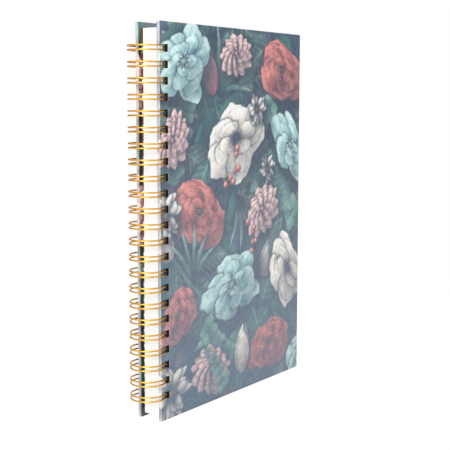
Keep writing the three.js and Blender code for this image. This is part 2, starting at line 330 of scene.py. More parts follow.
class Print:
    """A painting on scattered points: u across and v up the unfolded paper, in millimetres."""

    def __init__(self, u, v, seed):
        self.u, self.v = u, v
        self.seed = seed
        self.rgb = np.empty((len(u), 3))
        self.grain = soft_noise(u, v, 1.6, seed + 1) - 0.5
        self.wobble = soft_noise(u, v, 5.0, seed + 2) - 0.5
        self.ground()

    def ground(self):
        """Slate darkness with drifts of pine green and dusky violet."""
        u, v, s = self.u, self.v, self.seed
        drift = 0.6 * soft_noise(u, v, 34, s + 3) + 0.4 * soft_noise(u, v, 13, s + 4)
        violet = 0.6 * soft_noise(u, v, 41, s + 5) + 0.4 * soft_noise(u, v, 9, s + 6)
        self.rgb[:] = mix(SLATE, PINE, smooth(0.35, 0.7, drift))
        self.rgb[:] = mix(self.rgb, DUSK, 0.8 * smooth(0.45, 0.75, violet))
        self.rgb *= (0.9 + 0.25 * soft_noise(u, v, 4.5, s + 7))[:, None]

    def near(self, u0, v0, reach):
        return np.nonzero((np.abs(self.u - u0) < reach) & (np.abs(self.v - v0) < reach))[0]

    def lay(self, where, alpha, colour):
        self.rgb[where] = mix(self.rgb[where], colour, alpha)

    def along(self, where, u0, v0, angle):
        """Places along and across a line from a point at an angle."""
        du, dv = self.u[where] - u0, self.v[where] - v0
        ca, sa = math.cos(angle), math.sin(angle)
        return du * ca + dv * sa, dv * ca - du * sa

    def leaning(self, u0, v0, axis, squash):
        """The same painting for a flower that leans away across an axis through its middle, so that it
        is foreshortened by squash and its far side once more."""
        other = copy.copy(self)
        a, b = self.along(slice(None), u0, v0, axis)
        b = np.where(b > 0, b / (squash * FAR_SIDE), b / squash)
        other.u = u0 + a * math.cos(axis) - b * math.sin(axis)
        other.v = v0 + a * math.sin(axis) + b * math.cos(axis)
        return other

    def shadow(self, u0, v0, radius, depth=0.75):
        """A soft dark round below and beside what lies over it."""
        where = self.near(u0, v0, radius * 1.7)
        r = np.hypot(self.u[where] - u0 - 0.08 * radius, self.v[where] - v0 + 0.14 * radius)
        self.lay(where, depth * smooth(radius * 1.45, radius * 0.7, r), UMBER)

    def blade(
        self, u0, v0, angle, length, width, dark, light, tip=2.0, fullest=0.75, rim=0.0, veins=0, bend=0.0,
        depth=0.55, low=0.12, high=0.95,
    ):
        """A petal or leaf. With t from 0 at its foot to 1 at its tip, its half width follows
        t^fullest * (1 - t^tip), scaled so that its widest place is width. It grows lighter from low at
        its foot to high at its tip, is lit from the upper left and has a soft shadow under its rim.
        Returns the points near it, with their places along and across it."""
        where = self.near(u0, v0, length * 1.3)
        a, b = self.along(where, u0, v0, angle)
        b = b - bend * a * a / length
        t = a / length * (1 + 0.14 * self.wobble[where])
        samples = np.linspace(0, 1, 60)
        peak = np.max(samples**fullest * (1 - samples**tip))
        clipped = np.clip(t, 0, 1)
        half = width / peak * clipped**fullest * (1 - clipped**tip)
        spare = half - np.abs(b) + 0.5 * self.grain[where] + 1.1 * self.wobble[where] * clipped
        under = smooth(-2.6, 0.8, half - np.abs(b + 0.6)) * ((t > -0.02) & (t < 1.04))
        self.lay(where, depth * under, UMBER)
        signed = np.clip(b / np.maximum(half, 0.05), -1, 1)
        facing = -math.sin(angle) * LIGHT_FROM[0] + math.cos(angle) * LIGHT_FROM[1]
        glow = low + (high - low) * clipped**0.7 - 0.18 * signed**2 + 0.28 * facing * signed
        if veins:
            seed = self.seed + int(97 * (angle % 7))
            streaks = soft_noise(signed * 2 * veins, clipped * 1.5, 1.0, seed) - 0.5
            glow = glow + 0.42 * streaks * (1.1 - 0.5 * clipped)
        glow = glow + 0.20 * self.wobble[where] + 0.12 * self.grain[where]
        colour = mix(dark, light, np.clip(glow, 0, 1))
        if rim:
            edge = smooth(1.15, 0.3, spare) * smooth(0.2, 0.75, clipped)
            colour = mix(colour, np.minimum(np.array(light) * 1.08 + 0.05, 1), 0.7 * rim * edge)
        inside = (t > 0) & (t < 1)
        self.lay(where, smooth(-0.5, 0.7, spare) * inside, colour)
        return where, a, b

    def foliage(self, u0, v0, angle, length, width, dark=PINE, light=SAGE, bend=0.15):
        """A broad leaf with a pale midrib and side veins that slope towards its tip."""
        where, a, b = self.blade(
            u0, v0, angle, length, width, dark, light, 1.7, 0.8, rim=0.4, bend=bend, low=0.0, high=0.70
        )
        t = np.clip(a / length, 0, 1)
        held = smooth(0.02, 0.1, t) * smooth(1.0, 0.85, t)
        room = width * np.sin(math.pi * np.clip(t, 0.001, 1) ** 0.8)
        veins = np.cos((a - 0.8 * np.abs(b)) * 2 * math.pi / (length / 9))
        shown = smooth(0.3, 0.98, veins) * (np.abs(b) < room * 0.85) * held
        self.lay(where, 0.42 * shown, light)
        self.lay(where, 0.70 * held * smooth(0.9, 0.15, np.abs(b)), light)

    def thicket(self, count):
        """Dim leaves behind everything else, thrown at random."""
        rng = np.random.default_rng(self.seed + 9)
        tones = ((UMBER, FERN), (PINE, SAGE), (SLATE, DUSK), (UMBER, SAGE), (SLATE, SAND), (PINE, FERN))
        for k in range(count):
            u, v = rng.uniform(-15, 150), rng.uniform(-15, 225)
            length = rng.uniform(20, 48)
            dark, light = tones[k % len(tones)]
            strength = rng.uniform(0.7, 1.25)
            angle, bend = rng.uniform(0, 2 * math.pi), rng.uniform(-0.35, 0.35)
            shade = np.array(dark) * (1 - strength) + np.array(light) * strength
            if k % 3 == 0:
                self.foliage(u, v, angle, length, length * rng.uniform(0.2, 0.3), dark, shade, bend)
            else:
                self.blade(
                    u, v, angle, length, length * rng.uniform(0.06, 0.2), dark, shade, 1.8, 0.8, rim=0.5,
                    bend=bend, depth=0.6, low=-0.05, high=0.95,
                )

    def spray(self, u0, v0, angle, length, pairs, size, curve=0.5):
        """Round leaves in pairs along a bending stem, smaller towards its end."""
        for k in range(pairs):
            t = (k + 0.6) / pairs
            turn = angle + curve * t
            middle = angle + curve * t / 2
            u, v = u0 + t * length * math.cos(middle), v0 + t * length * math.sin(middle)
            reach = size * (1.15 - 0.6 * t)
            for side in (1, -1):
                lean = turn + side * (0.9 + 0.2 * math.sin(2.3 * k + side))
                self.blade(u, v, lean, reach, reach * 0.38, FERN, SAGE, 4, 0.55, rim=0.6, depth=0.45, low=0.0)
            self.blade(u, v, turn, length / pairs, 0.55, FERN, SAGE, 6, 0.3, depth=0.2)

    def grass(self, u0, v0, angle, count, length, dark=PINE):
        """A tuft of long narrow blades that fan out and droop."""
        for k in range(count):
            spread = (k - (count - 1) / 2) * 0.22
            reach = length * (1 - 0.08 * abs(k - count / 2))
            self.blade(
                u0, v0, angle + spread, reach, 1.8, dark, SAGE, 1.5, 0.6, rim=0.5, bend=0.8 * spread,
                depth=0.45, low=0.0,
            )

    def berries(self, u0, v0, angle, count, size):
        """Round fruit along a thin twig, each with a pale spot."""
        for k in range(count):
            turn = angle + 0.25 * k
            side = 1 if k % 2 else -1
            u = u0 + (k + 1) * size * 1.5 * math.cos(turn) - side * size * 0.9 * math.sin(turn)
            v = v0 + (k + 1) * size * 1.5 * math.sin(turn) + side * size * 0.9 * math.cos(turn)
            self.blade(u, v, turn + math.pi + side * 0.5, size * 2.2, 0.5, UMBER, SAND, 6, 0.3, depth=0.2)
            self.shadow(u, v, size, 0.5)
            where = self.near(u, v, size * 2)
            r = np.hypot(self.u[where] - u, self.v[where] - v)
            tilt = np.hypot(self.u[where] - u + 0.3 * size, self.v[where] - v - 0.4 * size)
            body = mix(CORAL, WINE, smooth(0.3, 1.5, tilt / size))
            self.lay(where, smooth(size + 0.3, size - 0.3, r), body)
            self.lay(where, 0.7 * smooth(size * 0.45, 0, tilt), CREAM)

    def tulip(self, u0, v0, angle, length, dark=SAND, light=CREAM):
        """A closed cup of petals seen from the side, on a pale green stem."""
        self.blade(u0, v0, angle + math.pi, length * 1.3, 1.3, PINE, SAGE, 8, 0.1, bend=0.1, depth=0.4)
        petals = (0.42, 0.92, 0.17), (-0.42, 0.95, 0.17), (0.18, 1.0, 0.20), (-0.14, 0.9, 0.22)
        for lean, share, width in petals:
            self.blade(
                u0, v0, angle + lean, length * share, length * width, dark, light, 2.2, 0.5, rim=0.8, veins=3,
                bend=-0.9 * lean, depth=0.7, low=-0.15,
            )

    def relief(self, u0, v0, radius):
        """Darkens a flower on the side away from the light, as a round thing is."""
        where = self.near(u0, v0, radius * 1.3)
        du, dv = (self.u[where] - u0) / radius, (self.v[where] - v0) / radius
        away = -(du * LIGHT_FROM[0] + dv * LIGHT_FROM[1])
        self.lay(where, 0.4 * smooth(1.25, 0.9, np.hypot(du, dv)) * smooth(-0.5, 1.1, away), UMBER)

    def heart(self, u0, v0, radius, dark, light, stamens):
        """A flower's stippled middle, and a ring of stamens where it has them."""
        where = self.near(u0, v0, radius * 3.6)
        du, dv = self.u[where] - u0, self.v[where] - v0
        r, angle = np.hypot(du, dv), np.arctan2(dv, du)
        self.lay(where, 0.8 * smooth(radius * 2.8, radius * 0.7, r), UMBER)
        if stamens:
            length = radius * (2.2 + 0.35 * np.sin(angle * 5 + u0))
            spokes = smooth(0.45, 0.95, np.cos(angle * stamens))
            self.lay(where, 0.45 * spokes * smooth(length + 0.4, length - 0.4, r) * (r > radius), light)
            dots = smooth(0.1, 0.8, np.cos(angle * stamens)) * smooth(0.9, 0.2, np.abs(r - length))
            self.lay(where, 0.8 * dots, light)
        stipple = 0.5 + 0.5 * np.cos(du * 4.1) * np.cos(dv * 4.3)
        body = mix(dark, light, np.clip(stipple * (1.15 - r / radius), 0, 1))
        self.lay(where, smooth(radius + 0.4, radius - 0.4, r), body)

    def flower(self, name, u0, v0, radius, turn, axis=0.0, squash=None):
        """One of the kinds of flower, from its shadow to its heart, leaning where squash is given. In
        round j, petal k varies by its waves, swing * sin(rate * k + shift * j)."""
        kind = FLOWERS[name]
        canvas = self.leaning(u0, v0, axis, squash) if squash else self
        canvas.shadow(u0, v0, radius)
        for j, (count, share, twist, breadth) in enumerate(kind["rounds"]):
            for k in range(count):
                place, reach, width, bend = (
                    swing * math.sin(rate * k + shift * j)
                    for swing, rate, shift in (kind[wave] for wave in ("place", "reach", "width", "bend"))
                )
                canvas.blade(
                    u0, v0, turn + (k + twist + place) * 2 * math.pi / count,
                    radius * share * (1 + reach), radius * (breadth + share * width),
                    kind["dark"], kind["light"], bend=bend, **kind["petal"],
                )
        canvas.relief(u0, v0, radius)
        share, *heart = kind["heart"]
        canvas.heart(u0, v0, radius * share, *heart)

    def haze(self, low, high):
        """A painted reflection: a pale blue glare on the face that greys the darks most and grows towards the
        tail, a lift of all tones, 1 - (1 - tone)^1.5, and painted light that grows less towards the tail."""
        face = smooth(-1.5, 1.5, np.minimum(np.minimum(self.u, COVER_WIDTH - self.u), self.v))
        fallen = smooth(150, 5, self.v)
        amount = face * (low + (high - low) * fallen)
        bright = self.rgb.mean(axis=1)
        self.rgb[:] = mix(self.rgb, GLARE_TINT, amount * (1.25 - 1.2 * bright))
        self.rgb[:] = 1 - (1 - np.clip(self.rgb, 0, 1)) ** 1.5
        self.rgb *= ((1 + 0.05 * self.grain) * (1.04 - 0.14 * fallen))[:, None]


def front_design(p):
    """The front cover's flowers, from the furthest back to the nearest."""
    p.thicket(260)
    p.grass(52, 176, 1.2, 7, 44)
    p.spray(2, 128, 0.9, 62, 9, 12)
    p.spray(140, 96, 2.5, 64, 9, 12, curve=-0.5)
    p.foliage(84, 186, 0.1, 46, 12, UMBER, SAGE)
    p.foliage(18, 148, -0.6, 40, 11, UMBER, SAGE)
    p.foliage(96, 132, -0.8, 46, 13)
    p.foliage(60, 44, 2.7, 52, 14, UMBER, SAGE)
    p.foliage(96, 48, 0.9, 44, 12)
    p.tulip(48, 176, 1.9, 30, MAUVE, ROSE)
    p.tulip(10, 88, 2.3, 34)
    p.tulip(98, 66, 1.0, 32)
    p.flower("cosmos", 20, 194, 27, 0.3, 0.5, 0.8)
    p.flower("peony", 120, 192, 27, 0.5, -0.4, 0.75)
    p.foliage(100, 204, -2.6, 34, 9, UMBER, SAGE)
    p.flower("dahlia", 70, 200, 17, 0.4, 0.2, 0.85)
    p.flower("cosmos", 130, 146, 26, 0.2, -0.8, 0.7)
    p.flower("dahlia", 10, 152, 18, 0.2, 1.0, 0.8)
    p.spray(112, 176, -2.4, 48, 7, 9)
    p.flower("anemone", 70, 152, 34, 0.8, 0.3, 0.72)
    p.foliage(44, 140, -2.2, 40, 10)
    p.flower("peony", 34, 112, 27, 0.1, -0.5, 0.78)
    p.grass(72, 118, -0.9, 6, 40, UMBER)
    p.flower("dahlia", 98, 108, 20, 0.6, 0.6, 0.85)
    p.berries(58, 128, -0.5, 7, 2.1)
    p.foliage(122, 104, -1.9, 40, 11, UMBER, SAGE)
    p.flower("anemone", 128, 68, 28, 0.3, -0.9, 0.7)
    p.flower("cosmos", 66, 66, 30, 0.9, 0.4, 0.75)
    p.flower("daisy", 4, 112, 13, 0.4)
    p.flower("peony", 14, 56, 19, 0.7, 0.9, 0.8)
    p.spray(36, 50, -0.9, 46, 7, 9)
    p.foliage(88, 50, -1.2, 36, 9)
    p.flower("peony", 106, 24, 25, 0.2, 0.2, 0.72)
    p.flower("dahlia", 46, 20, 20, 0.1, -0.3, 0.85)
    p.tulip(76, 10, 1.5, 30)
    p.flower("daisy", 8, 14, 16, 0.2)
    p.flower("cosmos", 142, 10, 20, 0.5, 0.9, 0.8)
    p.berries(84, 84, 0.3, 6, 1.9)
    p.grass(28, 72, 1.5, 5, 34, UMBER)
    p.spray(60, 2, 1.9, 34, 6, 7)
    p.flower("daisy", 92, 168, 9, 0.2)
    p.flower("daisy", 104, 132, 8, 0.5)
    p.haze(0.27, 0.46)


def back_design(p):
    """The back cover's flowers, in another layout."""
    p.thicket(260)
    p.grass(84, 120, 0.9, 7, 44)
    p.spray(16, 150, 0.1, 60, 8, 12)
    p.spray(130, 140, 3.4, 58, 8, 12, curve=0.6)
    p.foliage(36, 110, 0.4, 56, 14, UMBER, SAGE)
    p.foliage(124, 70, 2.0, 50, 13)
    p.foliage(60, 40, -0.4, 50, 13, UMBER, SAGE)
    p.tulip(96, 128, 1.6, 34)
    p.tulip(58, 186, 1.3, 32, MAUVE, ROSE)
    p.flower("cosmos", 28, 192, 27, 0.2, 0.5, 0.75)
    p.flower("anemone", 106, 162, 32, 0.1, -0.6, 0.7)
    p.flower("peony", 56, 150, 24, 0.3, 0.2, 0.8)
    p.flower("dahlia", 130, 112, 25, 0.2, 0.9, 0.85)
    p.flower("cosmos", 22, 104, 27, 0.4, -0.4, 0.75)
    p.flower("anemone", 70, 86, 28, 0.3, 0.4, 0.72)
    p.flower("peony", 118, 58, 25, 0.6, -0.7, 0.75)
    p.tulip(62, 20, 1.8, 34)
    p.flower("dahlia", 34, 48, 19, 0.1, 0.3, 0.85)
    p.flower("cosmos", 92, 14, 25, 0.1, 0.1, 0.75)
    p.flower("peony", 98, 208, 20, 0.8, -0.2, 0.8)
    p.flower("daisy", 8, 8, 16, 0.2)
    p.flower("dahlia", 139, 181, 18, 0.5)
    p.flower("dahlia", 4, 148, 15, 0.5)
    p.spray(30, 20, 0.9, 62, 9, 10, curve=-0.5)
    p.berries(70, 118, 0.2, 6, 2.0)
    p.berries(16, 80, -0.8, 6, 1.9)
    p.haze(0.27, 0.45)


DESIGNS = {"front": front_design, "back": back_design}


# Meshes

def welded(points, quads, groups):
    """Joins points that share a place, drops faces that fold to nothing and turns quads that lose a
    corner into triangles. Returns which points are kept, the faces and their groups."""
    keys = np.round(points / WELD).astype(np.int64)
    _, first, back = np.unique(keys, axis=0, return_index=True, return_inverse=True)
    quads = back.reshape(-1)[quads]
    same = quads == np.roll(quads, -1, axis=1)
    crossed = (quads[:, 0] == quads[:, 2]) | (quads[:, 1] == quads[:, 3])
    whole = (same.sum(axis=1) == 0) & ~crossed
    short = (same.sum(axis=1) == 1) & ~crossed
    faces = quads[whole].tolist() + quads[short][~same[short]].reshape(-1, 3).tolist()
    return first, faces, np.concatenate([groups[whole], groups[short]])


def mesh_object(name, points_mm, faces, materials, kinds=None, smooth_kinds=()):
    """A mesh from points in millimetres, its faces and each face's material number."""
    mesh = bpy.data.meshes.new(name)
    mesh.from_pydata((points_mm * MM).tolist(), [], faces)
    for material in materials:
        mesh.materials.append(material)
    if kinds is not None:
        mesh.polygons.foreach_set("material_index", np.asarray(kinds, dtype=np.int32))
        mesh.polygons.foreach_set("use_smooth", np.isin(kinds, smooth_kinds))
    mesh.validate()
    mesh.update()
    piece = bpy.data.objects.new(name, mesh)
    bpy.context.scene.collection.objects.link(piece)
    return piece


def grid_quads(rows, columns, start=0):
    """The quads of a grid of points stored row by row."""
    i, j = np.meshgrid(np.arange(rows - 1), np.arange(columns - 1), indexing="ij")
    a = start + i * columns + j
    return np.stack([a, a + 1, a + columns + 1, a + columns], axis=-1).reshape(-1, 4)


def stacked(*columns):
    """Columns side by side, with single values repeated down."""
    return np.column_stack(np.broadcast_arrays(*columns))


def hole_edges():
    """The low and high edge of each hole along the spine, hole by hole."""
    s = sizes()
    middles = COVER_HEIGHT / 2 + (np.arange(s.loops) - (s.loops - 1) / 2) * s.pitch
    return stacked(middles - s.hole_height / 2, middles + s.hole_height / 2)


def lines(stops, step):
    """Rising values through all the stops, evenly spaced between them at about the step."""
    parts = [np.linspace(a, b, max(1, round((b - a) / step)) + 1)[:-1] for a, b in zip(stops, stops[1:])]
    return np.append(np.concatenate(parts), stops[-1])


def in_hole(a, z):
    """Whether places lie inside a cover's punched hole."""
    s = sizes()
    low, high = hole_edges().T
    level = ((z[:, None] > low) & (z[:, None] < high)).any(axis=1)
    return level & (a > s.hole_margin) & (a < s.hole_margin + s.hole_width)


def case_surface():
    """The paper's surface round a board, as (a, z, depth) points, quads and the unfolded place of every
    point, and the lines of its grid across and along the holes. A flat grid covers the outer face up to
    the corner radius. From its rim a profile is carried outwards: a quarter round, the edge, a quarter
    round and the turn-in, whose corners are mitred by holding both coordinates inside the inset
    rectangle."""
    s = sizes()
    width, height, thick = COVER_WIDTH, COVER_HEIGHT, CASE_THICKNESS
    rim, fold = s.corner_radius, s.edge_radius
    hole_low, hole_high = s.hole_margin, s.hole_margin + s.hole_width
    band = lines([hole_low, hole_high], HOLE_STEP)
    margin = lines([rim, hole_low], MARGIN_STEP)
    a_lines = np.concatenate([margin[:-1], band, lines([hole_high, width - rim], FACE_STEP)[1:]])
    z_lines = lines([rim, *hole_edges().ravel(), height - rim], FACE_STEP)

    a, z = np.meshgrid(a_lines, z_lines)
    face = stacked(a.ravel(), z.ravel(), 0)
    face_quads = grid_quads(len(z_lines), len(a_lines))
    centre = face[face_quads].mean(axis=1)
    face_quads = face_quads[~in_hole(centre[:, 0], centre[:, 1])]

    fan = np.linspace(0, math.pi / 2, CORNER_POINTS)
    path = []
    for side_a, side_z, angle in (
        (a_lines, rim, -math.pi / 2),
        (width - rim, z_lines, 0.0),
        (a_lines[::-1], height - rim, math.pi / 2),
        (rim, z_lines[::-1], math.pi),
    ):
        path.append(stacked(side_a, side_z, angle))
        corner_a, corner_z, _ = path[-1][-1]
        path.append(stacked(corner_a, corner_z, angle + fan))
    path_a, path_z, heading = np.concatenate([*path, path[0][:1]]).T

    quarter = np.linspace(0, math.pi / 2, FOLD_POINTS)
    rise, run = fold - fold * np.cos(quarter), fold * np.sin(quarter)
    inset = np.array([rim, *(fold - run), *rise, rim, *band, s.turn_in])
    depth = [0, *rise, *(thick - fold + run)]
    depth = np.array(depth + [thick] * (len(inset) - len(depth)))
    outward = np.clip(rim - inset, 0, None)[:, None]
    ring_a = path_a + outward * np.cos(heading)
    ring_z = path_z + outward * np.sin(heading)
    held = np.maximum(inset, rim)[:, None]
    folded = (inset > rim)[:, None]
    ring_a = np.where(folded, np.clip(ring_a, held, width - held), ring_a)
    ring_z = np.where(folded, np.clip(ring_z, held, height - held), ring_z)
    rings = stacked(ring_a.ravel(), ring_z.ravel(), np.repeat(depth, len(path_a)))
    points = np.concatenate([face, rings])

    travelled = np.append(0, np.cumsum(np.hypot(np.diff(inset), np.diff(depth))))[:, None]
    paper_a, paper_z = path_a + travelled * np.cos(heading), path_z + travelled * np.sin(heading)
    unfolded = np.concatenate([face[:, :2], stacked(paper_a.ravel(), paper_z.ravel())])

    ring_quads = grid_quads(len(inset), len(path_a), len(face))
    middle = points[ring_quads].mean(axis=1)
    pierced = in_hole(middle[:, 0], middle[:, 1]) & (middle[:, 2] > thick - 1e-6)
    quads = np.concatenate([face_quads, ring_quads[~pierced][:, ::-1]])
    return points, quads, unfolded, band, z_lines


def hole_walls(band, z_lines, depths, start):
    """The four walls of every hole: its outline, carried from the outer face to the inner one."""
    points, quads = [], []
    for low, high in hole_edges():
        span = z_lines[(z_lines > low - 1e-6) & (z_lines < high + 1e-6)]
        loop = np.concatenate([
            stacked(band[:-1], span[0]),
            stacked(band[-1], span[:-1]),
            stacked(band[:0:-1], span[-1]),
            stacked(band[0], span[::-1]),
        ])
        quads.append(grid_quads(len(depths), len(loop), start))
        points += [stacked(*loop.T, depth) for depth in depths]
        start += len(depths) * len(loop)
    return np.concatenate(points), np.concatenate(quads)


def build_case(side, materials):
    """One cover's printed case: outer face, edges, turn-ins and hole walls, closed behind the endpaper.
    Its materials are the print, near-black board in the holes' walls and the paper's cut edge there."""
    s = sizes()
    sign = SIDES[side]
    thick = CASE_THICKNESS
    surface, surface_quads, unfolded, band, z_lines = case_surface()
    depths = [0, PAPER_CUT, thick - PAPER_CUT, thick]
    walls, wall_quads = hole_walls(band, z_lines, depths, len(surface))
    points = np.concatenate([surface, walls])
    wall_depth = points[wall_quads][:, :, 2].mean(axis=1)
    cut = np.where(np.abs(wall_depth - thick / 2) < thick / 2 - PAPER_CUT, 1, 2)
    printed = np.zeros(len(surface_quads), dtype=int)
    first, faces, kinds = welded(
        points, np.concatenate([surface_quads, wall_quads]), np.concatenate([printed, cut])
    )
    a, z, depth = points[first].T

    inset = np.minimum(np.minimum(a, COVER_WIDTH - a), np.minimum(z, COVER_HEIGHT - z))
    border = np.nonzero((np.abs(depth - thick) < 1e-6) & (np.abs(inset - s.turn_in) < 1e-4))[0]
    around = np.arctan2(
        (z[border] - COVER_HEIGHT / 2) * COVER_WIDTH, (a[border] - COVER_WIDTH / 2) * COVER_HEIGHT
    )
    faces.append(border[np.argsort(-around)].tolist())
    kinds = np.append(kinds, 1)
    if sign > 0:
        faces = [face[::-1] for face in faces]
    world = np.column_stack([SPINE_X + a, sign * (OUTER_HALF - depth), z])
    piece = mesh_object(f"{side}_case", world, faces, materials, kinds)

    paint = np.zeros((len(points), 2))
    paint[: len(unfolded)] = unfolded
    u, v = paint[first].T
    design = Print(u if sign < 0 else COVER_WIDTH - u, v, PRINT_SEEDS[side])
    DESIGNS[side](design)
    # Painted sheen: where the paper goes round the board, its print is mixed in patches with a pale colour,
    # strongest along the edge and fading into the inner rounding, standing in for a highlight on the edges.
    folded = smooth(-0.02, s.edge_radius * 0.6, depth) * smooth(thick + 0.02, thick * 0.75, depth)
    mottle = 0.52 + 0.30 * soft_noise(u, v, 7.0, 5) + 0.18 * soft_noise(u, v, 1.2, 6)
    design.rgb[:] = mix(design.rgb, EDGE_SHEEN, np.clip(mottle * folded, 0, 0.9))
    layer = piece.data.color_attributes.new("print", "FLOAT_COLOR", "POINT")
    shown = np.column_stack([linear(design.rgb), np.ones(len(u))])
    layer.data.foreach_set("color", shown.astype(np.float32).reshape(-1))
    return piece


def sheet_grid(columns, pierced):
    """The quads of a flat punched sheet on a coarse grid, without its pierced cells, and the edges
    that bound them."""
    quads = grid_quads(len(pierced) + 1, columns)[~pierced.reshape(-1)]
    edges = np.concatenate([quads[:, [k, (k + 1) % 4]] for k in range(4)]).tolist()
    there = {tuple(edge) for edge in edges}
    return quads, np.array([edge for edge in edges if (edge[1], edge[0]) not in there])


def build_leaves(node, material):
    """A block's leaves, each a thin punched sheet of its own. They hang on the wire: each has sunk
    until its holes rest on the strands, has turned down a little about the row's middle, and stands
    a little out of line with the next."""
    s = sizes()
    low, high = node_box(node)
    hole_x = low[0] + s.leaf_hole_margin
    x_stops = [low[0], hole_x, hole_x + s.hole_width, high[0]]
    z_stops = [low[2], *hole_edges().ravel(), high[2]]
    pierced = np.zeros((len(z_stops) - 1, len(x_stops) - 1), dtype=bool)
    pierced[1::2, 1] = True
    quads, rim = sheet_grid(len(x_stops), pierced)
    x, z = (grid.reshape(-1) for grid in np.meshgrid(x_stops, z_stops))
    count = len(x)
    share = (high[1] - low[1]) / s.leaves_per_block
    pivot_x, pivot_z = hole_x + s.hole_width / 2, COVER_HEIGHT / 2
    dx, dz = x - pivot_x, z - pivot_z
    jitter = np.random.default_rng(int(node.split("_")[-1])).uniform(-1, 1, (s.leaves_per_block, 3))
    points, faces = [], []
    for k, (across, along, turned) in enumerate(jitter):
        turn = s.leaf_sag + LEAF_TURN * turned
        px = pivot_x + dx * math.cos(turn) + dz * math.sin(turn) + LEAF_SHIFT_X * across
        pz = pivot_z - dx * math.sin(turn) + dz * math.cos(turn) + LEAF_SHIFT_Z * along
        points += [stacked(px, low[1] + (k + depth) * share, pz - s.leaf_drop) for depth in SHEET_FACES]
        start = 2 * count * k
        faces += (quads + start).tolist()
        faces += (quads[:, ::-1] + start + count).tolist()
        a, b = rim[:, 0] + start, rim[:, 1] + start
        faces += np.stack([b, a, a + count, b + count], axis=-1).tolist()
    return mesh_object(node.replace("block", "sheets"), np.concatenate(points), faces, [material])


def wire_path():
    """The strand's centreline as angle and height on the cylinder of the rings, and its radius. Each
    finger goes out at one height, turns a half circle at its tip and comes back, and quarter circles at
    the roots lead to the next finger."""
    s = sizes()
    radius = AXIS_X - wire_low[0] - s.wire_diameter / 2
    root = math.asin((INNER_HALF - s.root_clearance - s.wire_diameter / 2) / radius)
    tip = s.strand_spacing / 2
    end = root + 2 * math.pi - (s.tip_shortfall + tip) / radius
    begin = root + s.root_bend / radius
    free = root + s.root_bend / 2 / radius
    half_turn = np.linspace(-math.pi / 2, math.pi / 2, TIP_STEPS + 1)[1:-1]
    quarter = np.linspace(0, math.pi / 2, BEND_STEPS + 1)[1:]
    path = []
    for i, z in enumerate(hole_edges().mean(axis=1)):
        last = i == s.loops - 1
        path += [
            stacked(np.linspace(begin if i else free, end, FINGER_STEPS), z - tip),
            stacked(end + tip * np.cos(half_turn) / radius, z + tip * np.sin(half_turn)),
            stacked(np.linspace(end, free if last else begin, FINGER_STEPS), z + tip),
        ]
        if last:
            break
        leave, arrive = z + tip + s.root_bend, z - tip + s.pitch - s.root_bend
        across, down = s.root_bend * np.sin(quarter), s.root_bend * np.cos(quarter)
        path += [
            stacked(begin - across / radius, leave - down),
            stacked(root, np.linspace(leave, arrive, ROOT_STEPS + 1)[1:]),
            stacked(begin - down[:-1] / radius, arrive + across[:-1]),
        ]
    return (*np.concatenate(path).T, radius)


def build_wire(material):
    """The strand as a tube: at each point of the path a circle square to it, with domed ends, whose
    circles shrink as they go half the wire's radius further."""
    angle, height, radius = wire_path()
    wire = sizes().wire_diameter / 2
    points = stacked(radius * np.cos(angle), radius * np.sin(angle), height)
    along = np.gradient(points, axis=0)
    along /= np.linalg.norm(along, axis=1, keepdims=True)
    across = np.cross(along, stacked(np.cos(angle), np.sin(angle), 0))
    across /= np.linalg.norm(across, axis=1, keepdims=True)
    outward = np.cross(across, along)

    dome = np.array([0.0, 0.55, 0.85])
    beyond = wire * 0.5 * np.sqrt(1 - dome[:, None] ** 2)
    thickness = wire * np.concatenate([dome, np.ones(len(points)), dome[::-1]])
    points = np.vstack([points[0] - along[0] * beyond, points, points[-1] + along[-1] * beyond[::-1]])
    ends = ((len(dome), len(dome)), (0, 0))
    outward, across = np.pad(outward, ends, "edge"), np.pad(across, ends, "edge")

    turn = np.linspace(0, 2 * math.pi, WIRE_SIDES + 1)[:, None]
    ring = np.cos(turn) * outward[:, None] + np.sin(turn) * across[:, None]
    surface = (points[:, None] + thickness[:, None, None] * ring).reshape(-1, 3)
    quads = grid_quads(len(points), WIRE_SIDES + 1)[:, ::-1]
    first, faces, kinds = welded(surface, quads, np.zeros(len(quads), dtype=int))
    return mesh_object("gold_wire", surface[first] + [AXIS_X, 0, 0], faces, [material], kinds, (0,))


# Materials

